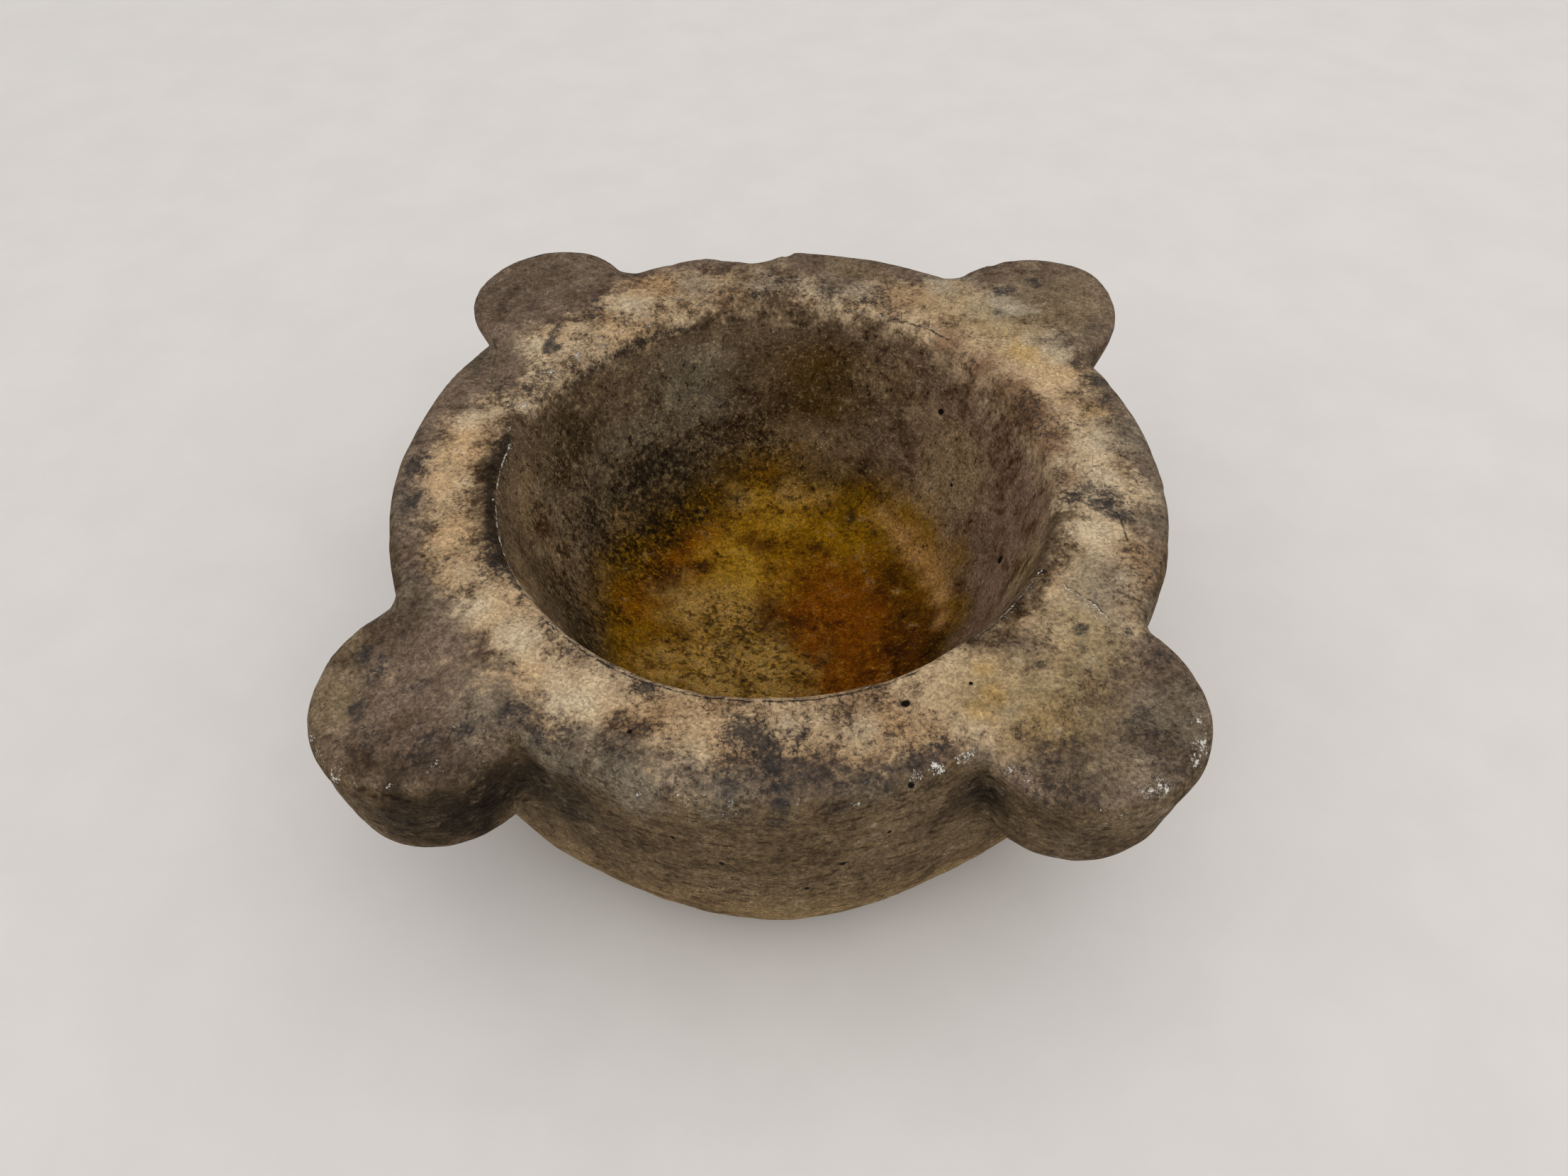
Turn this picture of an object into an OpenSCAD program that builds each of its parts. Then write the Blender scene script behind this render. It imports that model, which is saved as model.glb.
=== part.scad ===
// Four-lug marble mortar: one carved block with a dished bowl.
// The origin is the centre of the foot, +Z runs up the bowl's axis, and the
// lugs stand just under the rim at equal steps. All sizes are millimetres.

/* [Body] */
// Height from the foot to the rim
height = 115; // [108:1:125]
// Outer radius of the rim
rim_r = 142; // [138:1:150]
// Outer radius where the side starts to turn in
shoulder_r = 140.5; // [136:0.5:144]
// Height at which the side starts to turn in
shoulder_z = 59; // [50:1:68]
// Radius of the flat foot
foot_r = 99; // [85:1:110]
// Rounding of the rim's outer edge
rim_round = 7; // [3:1:10]

/* [Bowl] */
// Radius of the bowl's mouth
mouth_r = 103; // [98:1:104]
// Radius where the bowl's wall meets its floor
floor_r = 77; // [70:1:84]
// Depth from the rim to the edge of the floor
wall_depth = 72; // [66:1:76]
// Extra depth of the dished floor at its centre
dish_depth = 19; // [12:1:22]
// Rounding of the bowl's inner lip
lip_round = 4; // [2:1:5]

/* [Lugs] */
// Direction of the first lug, in degrees from +X
lug_turn = 40; // [0:1:89]
// Distance from the bowl's axis to each lug's centre
lug_centre = 146; // [144:1:150]
// Radius of a lug at the rim
lug_r = 37; // [33:0.5:37]
// Height of a lug
lug_h = 48; // [40:1:54]
// How far the lugs' tops lie below the rim
lug_drop = 1; // [0.5:0.5:4]
// How far a lug's side leans in from top to bottom
lug_lean = 9; // [4:1:12]
// Rounding of a lug's top edge
lug_round = 7; // [3:1:10]
// Rounding of a lug's lower edge
lug_under_round = 14; // [8:1:16]

/* [Hidden] */
$fn = 72;
stone = [0.55, 0.48, 0.39];
lug_count = 4;
arc_steps = 6;
turn_steps = 12;

// Points on an arc about a centre, from one angle to another
function arc(centre, radius, from, to, steps) =
    [for (i = [0:steps])
        let (a = from + (to - from) * i / steps)
        centre + radius * [cos(a), sin(a)]];

// The side's turn from the foot up to the shoulder, a quarter of an ellipse
function side_turn() =
    [for (i = [0:turn_steps])
        let (a = 90 * i / turn_steps)
        [foot_r + (shoulder_r - foot_r) * sin(a), shoulder_z * (1 - cos(a))]];

// The bowl's dished floor, from its centre out to the wall
function dish() =
    let (
        radius = (floor_r * floor_r + dish_depth * dish_depth) / (2 * dish_depth),
        edge = asin(floor_r / radius),
        bottom = height - wall_depth - dish_depth
    )
    arc([0, bottom + radius], radius, -90, edge - 90, turn_steps);

// The round body and its bowl, turned from one cross-section
module bowl_body() {
    rotate_extrude()
        polygon(concat(
            [[0, 0]],
            side_turn(),
            arc([rim_r - rim_round, height - rim_round], rim_round, 0, 90, arc_steps),
            arc([mouth_r + lip_round, height - lip_round], lip_round, 90, 180, arc_steps),
            [for (i = [turn_steps:-1:0]) dish()[i]]));
}

// One lug: a short stub with rounded edges whose side leans in downwards.
// Its inner half is buried in the wall and stops short of the bowl.
module lug() {
    under_r = lug_r - lug_lean;
    translate([lug_centre, 0, height - lug_drop - lug_h])
        rotate_extrude()
            polygon(concat(
                [[0, 0]],
                arc([under_r - lug_under_round, lug_under_round], lug_under_round, -90, 0, arc_steps),
                arc([lug_r - lug_round, lug_h - lug_round], lug_round, 0, 90, arc_steps),
                [[0, lug_h]]));
}

module mortar() {
    color(stone)
        union() {
            bowl_body();
            for (i = [0:lug_count - 1])
                rotate(lug_turn + i * 360 / lug_count)
                    lug();
        }
}

mortar();
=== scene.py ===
"""Looks for the four-lug marble mortar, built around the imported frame.

The stone is one closed mesh. A signed distance field describes the carved form, a grid turns it into
quads, and the quads are pulled onto the true surface with its chips, pits and hand-worked waviness.
Inside the field a length of 1 is the rim's nominal radius, and the rim's top plane is z = 0.
"""
import math

import bpy
import numpy as np
from mathutils import Matrix, Vector


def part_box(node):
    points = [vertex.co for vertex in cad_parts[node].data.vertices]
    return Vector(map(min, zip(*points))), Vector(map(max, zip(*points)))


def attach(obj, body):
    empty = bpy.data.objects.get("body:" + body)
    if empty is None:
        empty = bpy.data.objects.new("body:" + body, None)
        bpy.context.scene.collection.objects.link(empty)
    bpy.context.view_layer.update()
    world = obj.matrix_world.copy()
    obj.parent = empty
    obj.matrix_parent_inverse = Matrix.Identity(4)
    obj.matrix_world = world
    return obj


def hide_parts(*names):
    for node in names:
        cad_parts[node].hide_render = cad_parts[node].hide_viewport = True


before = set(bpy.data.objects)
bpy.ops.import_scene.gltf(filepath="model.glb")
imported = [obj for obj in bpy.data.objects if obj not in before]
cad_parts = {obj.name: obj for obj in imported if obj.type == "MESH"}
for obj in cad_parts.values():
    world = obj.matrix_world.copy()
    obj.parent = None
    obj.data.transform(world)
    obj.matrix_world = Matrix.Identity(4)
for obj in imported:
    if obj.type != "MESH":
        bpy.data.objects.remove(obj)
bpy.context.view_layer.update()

# ---------------- sizes from the frame
LOW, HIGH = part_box("mortar")
HEIGHT = HIGH[2] - LOW[2]
REACH = (HIGH[0] - LOW[0]) / 2
UNIT = REACH / 1.063          # the rim's nominal radius, in metres
FOOT_Z = -HEIGHT / UNIT       # the foot, in units
CELL = 0.0135   # the mesh's quads, in units


# ---------------- small maths
def polar(azimuth, radius, z=0.0):
    """A point from its direction in degrees, its distance from the bowl's axis and its height."""
    a = math.radians(azimuth)
    return np.array([radius * math.cos(a), radius * math.sin(a), z])


def smooth_min(a, b, k):
    h = np.clip(0.5 + 0.5 * (b - a) / k, 0, 1)
    return b * (1 - h) + a * h - k * h * (1 - h)


def smooth_max(a, b, k):
    return -smooth_min(-a, -b, k)


def ramp(x, start, end):
    """0 before start, 1 after end, with a soft turn between."""
    t = np.clip((x - start) / (end - start), 0, 1)
    return t * t * (3 - 2 * t)


def turn_gap(azimuth, centre):
    """Signed angle in degrees from a direction, between -180 and 180."""
    return (azimuth - centre + 180) % 360 - 180


def hump(azimuth, centre, width):
    """1 in one direction, falling to 0 about width degrees away."""
    return np.exp(-(turn_gap(azimuth, centre) / (0.6 * width)) ** 2)


def round_table(azimuth, rows):
    """A value set for a few directions and read smoothly between them."""
    rows = sorted(rows)
    directions = [a for a, _ in rows]
    values = [v for _, v in rows]
    return np.interp(azimuth % 360, directions, values, period=360)


def lattice(cell, seed):
    """Repeatable random numbers from -1 to 1 for whole-number cells."""
    x, y, z = (cell[..., i].astype(np.int64) for i in range(3))
    n = x * 374761393 + y * 668265263 + z * 2147483647 + seed * 974711
    n = (n ^ (n >> 13)) * 1274126177
    n = (n ^ (n >> 16)) & 0xFFFFFF
    return n / float(0x7FFFFF) - 1


def noise(points, size, seed, octaves=1):
    """Smooth noise from about -1 to 1 whose features are about size across."""
    total, weight, amount = 0.0, 0.0, 1.0
    for octave in range(octaves):
        q = points / size + 17.3 * octave
        base = np.floor(q)
        f = q - base
        f = f * f * (3 - 2 * f)
        value = 0.0
        for corner in np.ndindex(2, 2, 2):
            c = np.array(corner)
            share = np.prod(np.where(c == 1, f, 1 - f), axis=-1)
            value = value + share * lattice(base + c, seed + octave)
        total = total + amount * value
        weight += amount
        amount *= 0.5
        size = size / 2
    return total / weight


# ---------------- the carved form
MOUTH = 0.735                 # radius of the bowl's mouth
FLOOR_EDGE = 0.55             # radius where the wall meets the floor
FLOOR_EDGE_Z = -0.52
FLOOR_Z = -0.65               # the middle of the dished floor
SHOULDER_Z = -0.40            # where the outer side starts to turn in
SHOULDER_R = 1.005
FOOT_R = 0.71
PLAIN_RIM = 1.017             # the rim's radius where the shoulder and the foot have the radii above

# direction, centre's distance, radius, slope of the top, height, lean of the side, squareness
LUGS = [
    (129.5, 1.038, 0.254, 0.015, 0.33, 0.40, 2.2),
    (40.7, 1.058, 0.270, 0.010, 0.26, 0.45, 1.7),
    (218.5, 1.055, 0.271, -0.057, 0.345, 0.10, 2.0),
    (311.8, 1.034, 0.273, -0.027, 0.355, 0.16, 2.0),
]

# how far the rim stands out or in, by direction: the block was rounded by hand
RIM_RADIUS = [
    (0, 1.024), (20, 1.022), (40, 1.020), (65, 1.038), (80, 1.036), (105, 1.038), (130, 1.032),
    (155, 1.032), (175, 1.018), (195, 1.008), (220, 1.010), (245, 1.006), (270, 1.024),
    (292, 1.000), (320, 1.020), (345, 1.026),
]

# places where the rim is chipped: direction, distance, height, size, depth
CHIPS = [
    (92, 1.035, 0.000, 0.080, 0.055),
    (88.5, 1.040, -0.01, 0.060, 0.020),
    (96.5, 1.035, -0.01, 0.065, 0.030),
    (53, 1.16, 0.000, 0.030, 0.012),
    (319, 0.985, 0.000, 0.030, 0.006),
    (284, 1.000, 0.000, 0.030, 0.010),
    (207, 1.30, -0.08, 0.040, 0.010),
]

# pits in the stone: direction, distance, height, size, depth
PITS = [
    (289.5, 0.805, 0.000, 0.014, 0.008),
    (285.5, 1.000, -0.020, 0.009, 0.006),
    (40.7, 0.666, -0.193, 0.013, 0.008),
    (354.3, 0.625, -0.310, 0.016, 0.010),
    (28.0, 0.607, -0.360, 0.007, 0.004),
    (262.0, 0.985, -0.260, 0.008, 0.005),
    (277.0, 0.985, -0.290, 0.009, 0.006),
    (283.0, 0.985, -0.200, 0.007, 0.005),
    (256.0, 0.985, -0.180, 0.007, 0.005),
    (272.5, 0.970, -0.380, 0.008, 0.005),
    (300.4, 0.845, 0.000, 0.006, 0.003),
    (247.5, 0.880, 0.000, 0.007, 0.003),
]


def side_distance(r, z, rim):
    """Distance from the outer side: a straight wall over a quarter ellipse."""
    width = SHOULDER_R - FOOT_R
    drop = SHOULDER_Z - FOOT_Z + 0.02
    across = np.maximum(r - FOOT_R - (rim - PLAIN_RIM), 0) / width
    down = np.minimum(z - SHOULDER_Z, 0) / drop
    k = np.hypot(across, down)
    slope = np.maximum(np.hypot(across / width, down / drop), 1e-6)
    turn = np.where(k < 1e-3, -min(width, drop), k * (k - 1) / slope)
    wall = r - (rim + (SHOULDER_R - PLAIN_RIM) * np.clip(z / SHOULDER_Z, -1, 1))
    return np.where(z < SHOULDER_Z, turn, wall)


def lug_distance(p, lug):
    """Distance from one lug: a round stub that leans in downwards."""
    azimuth, centre, radius, slope, height, lean, square = lug
    a = math.radians(azimuth)
    out = p[..., 0] * math.cos(a) + p[..., 1] * math.sin(a)
    aside = np.abs(p[..., 1] * math.cos(a) - p[..., 0] * math.sin(a))
    top = slope * np.clip((out - 0.85) / 0.45, 0, 1)
    depth = np.clip(top - p[..., 2], 0, 1)
    shrink = lean * depth / 2
    beyond = out - (centre - shrink)
    round_end = (np.abs(beyond) ** square + aside ** square) ** (1 / square)
    side = np.where(beyond < 0, aside, round_end) - (radius - shrink)
    side = np.where(beyond < -0.25, np.maximum(side, -beyond - 0.35), side)
    upper = smooth_max(side, p[..., 2] - top, 0.05)
    return smooth_max(upper, top - height - p[..., 2], 0.10)


def bowl_distance(r, z):
    """Distance from the bowl's hollow: a sloping wall over a dished floor."""
    slant = math.hypot(MOUTH - FLOOR_EDGE, FLOOR_EDGE_Z)
    wall = ((r - MOUTH) * -FLOOR_EDGE_Z - z * (MOUTH - FLOOR_EDGE)) / slant
    rise = FLOOR_EDGE_Z - FLOOR_Z
    dish = (FLOOR_EDGE ** 2 + rise ** 2) / (2 * rise)
    centre = FLOOR_Z + dish
    floor = np.where(z > centre, r, np.hypot(r, z - centre)) - dish
    return smooth_max(wall, floor, 0.12)


def form(p):
    """Signed distance from the carved stone, without its small marks."""
    x, y, z = p[..., 0], p[..., 1], p[..., 2]
    r = np.hypot(x, y)
    azimuth = np.degrees(np.arctan2(y, x))
    rim = round_table(azimuth, RIM_RADIUS)
    edge = 0.06 - 0.01 * hump(azimuth, 90, 50)
    body = smooth_max(side_distance(r, z, rim), z, edge)
    body = smooth_max(body, FOOT_Z - z, 0.02)
    for lug in LUGS:
        body = smooth_min(body, lug_distance(p, lug), 0.03)
    lip = 0.020 + 0.060 * hump(azimuth, 90, 80)
    return smooth_max(body, -bowl_distance(r, z), lip)


def marks(p):
    """How far the surface is worn back: waviness, chips and pits."""
    away_from_foot = ramp(p[..., 2], FOOT_Z + 0.01, FOOT_Z + 0.06)
    wave = 0.0045 * noise(p, 0.22, 3, 2) + 0.0022 * noise(p, 0.06, 11, 2) + 0.0012 * noise(p, 0.035, 19)
    worn = wave * away_from_foot
    for azimuth, radius, z, size, depth in CHIPS:
        gap = p - polar(azimuth, radius, z)
        gap = gap + 0.25 * size * np.stack([noise(p, size * 0.6, 31 + i) for i in range(3)], -1)
        worn = worn + depth * (1 - ramp(np.linalg.norm(gap, axis=-1), 0.35 * size, 1.15 * size))
    for azimuth, radius, z, size, depth in PITS:
        gap = np.linalg.norm(p - polar(azimuth, radius, z), axis=-1)
        worn = worn + depth * (1 - ramp(gap, 0.3 * size, 1.3 * size))
    return worn


# ---------------- from field to mesh
def grid_field():
    """The field's values on a grid around the stone, and the grid's corner."""
    low = np.array([-1.42, -1.42, FOOT_Z - 0.03])
    high = np.array([1.42, 1.42, 0.08])
    counts = np.ceil((high - low) / CELL).astype(int)
    axes = [low[i] + CELL * np.arange(counts[i]) for i in range(3)]
    layers = []
    for z in axes[2]:
        x, y = np.meshgrid(axes[0], axes[1], indexing="ij")
        layers.append(form(np.stack([x, y, np.full_like(x, z)], -1)))
    return np.stack(layers, -1), low


def surface_net(values, low):
    """Quads around the field's zero level: a point in each mixed cell, a quad across each crossed edge."""
    inside = values < 0
    shape = np.array(values.shape) - 1
    corners = [np.array(c) for c in np.ndindex(2, 2, 2)]

    def shifted(array, c):
        return array[c[0]:c[0] + shape[0], c[1]:c[1] + shape[1], c[2]:c[2] + shape[2]]

    count = sum(shifted(inside, c).astype(int) for c in corners)
    cells = np.argwhere((count > 0) & (count < 8))
    number = -np.ones(shape, int)
    number[tuple(cells.T)] = np.arange(len(cells))

    place = np.zeros((len(cells), 3))
    crossings = np.zeros(len(cells))
    for start in corners:
        for axis in range(3):
            if start[axis]:
                continue
            end = start.copy()
            end[axis] = 1
            a = values[tuple((cells + start).T)]
            b = values[tuple((cells + end).T)]
            crossed = (a < 0) != (b < 0)
            t = np.where(crossed, a / np.where(crossed, a - b, 1), 0)
            point = start + (end - start) * t[:, None]
            place += point * crossed[:, None]
            crossings += crossed
    points = low + CELL * (cells + place / crossings[:, None])

    quads = []
    for axis in range(3):
        near, far = [i for i in range(3) if i != axis]
        first = np.take(inside, range(shape[axis]), axis=axis)
        second = np.take(inside, range(1, shape[axis] + 1), axis=axis)
        edges = np.argwhere(first != second)
        edges = edges[(edges[:, near] > 0) & (edges[:, far] > 0)]
        ring = []
        for step_near, step_far in ((1, 1), (0, 1), (0, 0), (1, 0)):
            cell = edges.copy()
            cell[:, near] -= step_near
            cell[:, far] -= step_far
            ring.append(number[tuple(cell.T)])
        quad = np.stack(ring, 1)
        leaves = first[tuple(edges.T)]
        flip = leaves if axis == 1 else ~leaves
        quad[flip] = quad[flip][:, ::-1]
        quads.append(quad)
    return points, np.concatenate(quads)


def slope_of(field, points, step):
    """The field's gradient by small steps along each axis."""
    out = np.zeros_like(points)
    for axis in range(3):
        move = np.zeros(3)
        move[axis] = step
        out[:, axis] = (field(points + move) - field(points - move)) / (2 * step)
    return out


def settle(points, field, rounds, step=2e-3):
    """Pull the points onto the field's zero level along its slope."""
    for _ in range(rounds):
        slope = slope_of(field, points, step)
        length = np.maximum((slope ** 2).sum(1, keepdims=True), 0.2)
        points = points - slope * (field(points)[:, None] / length)
    return points


def relax(points, quads, rounds):
    """Even out the quads: each point moves towards the mean of its neighbours."""
    for _ in range(rounds):
        total = np.zeros_like(points)
        count = np.zeros(len(points))
        for i in range(4):
            for other in ((i + 1) % 4, (i + 3) % 4):
                np.add.at(total, quads[:, i], points[quads[:, other]])
                np.add.at(count, quads[:, i], 1)
        points = points + 0.5 * (total / count[:, None] - points)
    return points


def stone_surface():
    """Points and quads of the finished stone, in units."""
    points, quads = surface_net(*grid_field())
    for rounds in (2, 1):
        points = settle(relax(points, quads, rounds), form, 2)
    slope = slope_of(form, points, 2e-3)
    slope /= np.maximum(np.linalg.norm(slope, axis=1, keepdims=True), 1e-6)
    points = points - slope * marks(points)[:, None]
    points[:, 2] = np.maximum(points[:, 2], FOOT_Z)
    return points, quads, slope


# ---------------- stains and painted shade, worked out point by point
def linear(red, green, blue):
    """A screen colour as the linear colour that shaders use."""
    return np.array([c / 12.92 if c < 0.04045 else ((c + 0.055) / 1.055) ** 2.4
                     for c in (red, green, blue)])


CREAM = linear(0.86, 0.77, 0.63)
PEACH = linear(0.84, 0.69, 0.50)
HONEY = linear(0.80, 0.65, 0.40)
DUST = linear(0.58, 0.53, 0.46)
PALE_DUST = linear(0.74, 0.68, 0.58)
BUFF = linear(0.70, 0.60, 0.43)
DULL_BUFF = linear(0.62, 0.54, 0.40)
ROSE = linear(0.66, 0.52, 0.39)
BROWN_FILM = linear(0.52, 0.44, 0.37)
OLIVE_FILM = linear(0.47, 0.39, 0.28)
GREY_FILM = linear(0.54, 0.49, 0.41)
SAND_FILM = linear(0.56, 0.48, 0.36)
ASH_FILM = linear(0.64, 0.59, 0.51)
# the two darkest film colours are partly painted shade where they lie under the lugs
DARK_FILM_AND_SHADE = linear(0.40, 0.34, 0.27)
DEEP_FILM_AND_SHADE = linear(0.12, 0.09, 0.055)
TAN_FOOT = linear(0.63, 0.52, 0.35)
WALL = linear(0.44, 0.36, 0.27)
WALL_GREY = linear(0.45, 0.40, 0.32)
WALL_PLUM = linear(0.60, 0.48, 0.39)
WALL_PALE = linear(0.63, 0.52, 0.38)
WALL_AMBER = linear(0.35, 0.25, 0.09)
WALL_ASH = linear(0.60, 0.54, 0.43)
WALL_NIGHT = linear(0.27, 0.21, 0.10)
WALL_BLUSH = linear(0.66, 0.54, 0.44)
WALL_LIGHT = linear(0.66, 0.57, 0.42)
OCHRE = linear(0.54, 0.38, 0.02)
YELLOW = linear(0.61, 0.43, 0.03)
RUST = linear(0.52, 0.28, 0.00)
DEEP_RUST = linear(0.33, 0.17, 0.00)
DARK_OCHRE = linear(0.22, 0.14, 0.00)
PALE_OLIVE = linear(0.72, 0.57, 0.31)
PINK_TAN = linear(0.74, 0.55, 0.33)
GOLD = linear(0.78, 0.60, 0.18)
FLOOR_LIGHT = linear(0.72, 0.53, 0.04)

# In the tables of stains, directions and widths are in degrees and all else is in hundredths: of the
# rim's radius for distances, heights and sizes, and of full strength. A height of 0 is left out.

# tones of the bowl's wall, with one painted shadow under the far lip: colour, then rows of direction,
# width, top, bottom, strength
WALL_BANDS = [
    (WALL_PLUM, (350, 50, 0, 60, 100), (20, 45, 0, 60, 90)),
    (WALL_PALE, (30, 22, 14, 50, 100)),
    (WALL_AMBER, (77, 28, 7, 36, 100), (90, 30, 30, 60, 80)),
    (WALL_PALE, (72, 26, 34, 43, 100)),
    (WALL_GREY, (112, 18, 6, 33, 100), (135, 24, 20, 33, 100)),
    (WALL_PALE, (178, 16, 3, 42, 70), (202, 14, 0, 20, 60)),
    (WALL_NIGHT, (150, 10, 2, 22, 60), (98, 25, 40, 60, 60), (125, 40, 33, 60, 80),
     (165, 26, 36, 60, 60), (205, 25, 26, 60, 90)),
    (WALL_PALE, (150, 9, 38, 55, 60)),
    (WALL_NIGHT, (345, 22, 38, 60, 50), (82, 12, 4, 16, 30)),
    (WALL_AMBER, (62, 14, 38, 60, 60)),
    (WALL_BLUSH, (340, 16, 0, 26, 90)),
    (WALL_LIGHT, (338, 14, 0, 22, 90)),
    (WALL_NIGHT, (165, 14, 4, 22, 35), (195, 16, 6, 26, 35), (76, 14, 16, 32, 40), (42, 10, 2, 16, 30),
     (8, 10, 26, 46, 30)),
    (WALL_ASH, (105, 6, 6, 18, 60), (118, 5, 12, 24, 70), (127, 8, 23, 31, 70), (140, 8, 21, 28, 60),
     (170, 6, 14, 30, 40), (184, 5, 16, 26, 50)),
    # painted shadow: the row at 132 degrees, just under the lip, darkens the wall where the far lip shades
    # it
    (WALL_NIGHT, (110, 6, 29, 36, 50), (98, 5, 8, 20, 40), (143, 6, 10, 18, 40), (155, 6, 4, 20, 50),
     (177, 4, 17, 23, 50), (132, 6, 2, 8, 50)),
    (WALL_PALE, (55, 10, 5, 24, 50), (22, 10, 10, 20, 50), (38, 8, 24, 36, 50)),
]

# stretches of the film with another tone, some of them partly painted shade under the lugs: colour, then
# rows of direction, distance, height, size and strength
FILM_AND_SHADE_PATCHES = [
    (SAND_FILM, (308, 105, 16, 70), (38, 108, 18, 80)),
    (GREY_FILM, (311, 120, 14, 40)),
    # painted shade over a dark film: the darkest rows, with heights well below the rim, sit low on the
    # lugs' sides and darken the crevices under them
    (DEEP_FILM_AND_SHADE, (233, 112, -18, 16, 100), (228, 124, -18, 12, 80), (237, 104, -16, 11, 90)),
    (DARK_FILM_AND_SHADE, (214, 130, -18, 12, 70)),
    (DEEP_FILM_AND_SHADE, (243, 100, -24, 10, 50), (296, 102, -15, 8, 100)),
    (DARK_FILM_AND_SHADE, (302, 122, -20, 12, 50), (316, 130, -16, 12, 90)),
    (ASH_FILM, (241, 96, 8, 90), (250, 98, 7, 70)),
    (DARK_FILM_AND_SHADE, (129, 112, 22, 50), (151, 97, 9, 90), (277, 97, 7, 60), (284, 98, 6, 80),
     (303, 112, -1, 8, 60), (280, 99, 5, 80), (270, 98, 5, 60)),
    (GREY_FILM, (250, 97, 10, 90), (240, 97, 8, 90), (262, 98, 8, 70)),
    (SAND_FILM, (288, 100, -16, 8, 40)),
    (GREY_FILM, (318, 120, 10, 60), (22, 100, 8, 80), (350, 98, 10, 80), (5, 99, 10, 70),
     (205, 97, 9, 60), (228, 97, 9, 60), (186, 97, 7, 50), (330, 99, 8, 60)),
    (SAND_FILM, (213, 122, -5, 8, 80), (207, 115, -4, 7, 90)),
    (GREY_FILM, (295, 100, 5, 60)),
    (SAND_FILM, (72, 90, 12, 90), (90, 86, 10, 100)),
    (ASH_FILM, (55, 100, 8, 70)),
]

# places where the film is worn thin: direction, distance, height, size, strength
WORN = [
    (38, 102, 12, 40), (70, 93, 10, 30), (90, 84, 8, 50), (90, 88, 10, 30), (100, 93, 8, 25),
    (214, 112, 5, 30), (222, 95, 8, 30), (238, 95, 6, 50), (245, 97, 6, 45), (254, 98, 5, 25),
    (308, 112, 10, 30), (316, 105, 7, 20), (332, 99, 6, 30),
]

# cleaner and dirtier stretches of the rim: direction, distance, height, size, strength
CLEAN = [
    (30, 88, 12, 100), (45, 97, 9, 80), (58, 93, 7, 70), (88, 95, 6, 50), (93, 87, 9, 90),
    (105, 88, 7, 70), (120, 86, 7, 90), (135, 88, 6, 60), (165, 87, 7, 80), (180, 87, 9, 100),
    (195, 86, 6, 70), (212, 85, 7, 80), (225, 87, 8, 60), (240, 86, 8, 100), (255, 91, 5, 70),
    (296, 86, 7, 50), (308, 95, 9, 40), (308, 102, 7, 30), (340.5, 82, 3.5, 110), (341.5, 86, 4.5, 120),
]
DIRTY = [
    (3, 95, 8, 70), (8, 79, 5, 80), (18, 77, 5, 70), (64, 85, 6, 60), (75, 84, 6, 40), (152, 86, 8, 50),
    (172, 93, 5, 70), (194, 93, 6, 70), (208, 86, 4, 70), (244, 87, 4, 90), (248, 86, 4, 80),
    (268, 90, 10, 100), (285, 94, 7, 70), (300, 88, 6, 90), (330, 92, 7, 60), (332, 84, 5, 60),
    (350, 86, 8, 100),
]

# how dark the bowl's lip is with soot and grease, by direction
LIP_GRIME = [
    (0, 60), (15, 55), (30, 35), (45, 35), (60, 60), (75, 65), (90, 70), (105, 65), (120, 50), (135, 60),
    (150, 65), (165, 75), (180, 90), (200, 90), (210, 75), (222, 50), (240, 55), (255, 65), (270, 65),
    (290, 60), (305, 60), (325, 60), (345, 65),
]

# how far out the pale stone of the rim shows before the dark film covers it, by direction
FILM_EDGE = [
    (0, 94), (10, 95), (18, 92), (25, 99), (32, 102), (40, 104), (50, 102), (58, 99), (65, 92), (75, 88),
    (85, 88), (95, 90), (102, 95), (112, 99), (119, 97), (125, 91), (133, 93), (141, 93), (148, 84),
    (153, 82), (158, 88), (165, 94), (178, 93), (186, 91), (196, 94), (203, 93), (210, 90), (218, 87),
    (226, 89), (234, 93), (240, 93), (250, 92), (258, 94), (266, 92), (274, 92), (283, 93), (290, 95),
    (297, 101), (305, 108), (314, 107), (325, 102), (340, 98),
]

# how far down the wall the pale stone of the lip runs, by direction; under 0, how far the wall's tone
# spreads over the rim instead
LIP_EDGE = [
    (0, 3), (20, 5), (40, 5), (52, 2), (65, 1), (90, 0), (105, 0), (120, 1), (145, 1), (160, 0),
    (180, -2), (205, 0), (240, 2), (290, 2), (320, -2), (345, 0),
]

# how far soot spreads out from the left lip, by direction
LIP_SOOT = [
    (160, 0), (166, 0.8), (170, 3), (174, 2.4), (178, 3.2), (184, 2.8), (188, 1), (193, 1.2), (198, 2.2),
    (204, 3), (209, 1.8), (214, 0.8), (220, 0),
]

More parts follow.
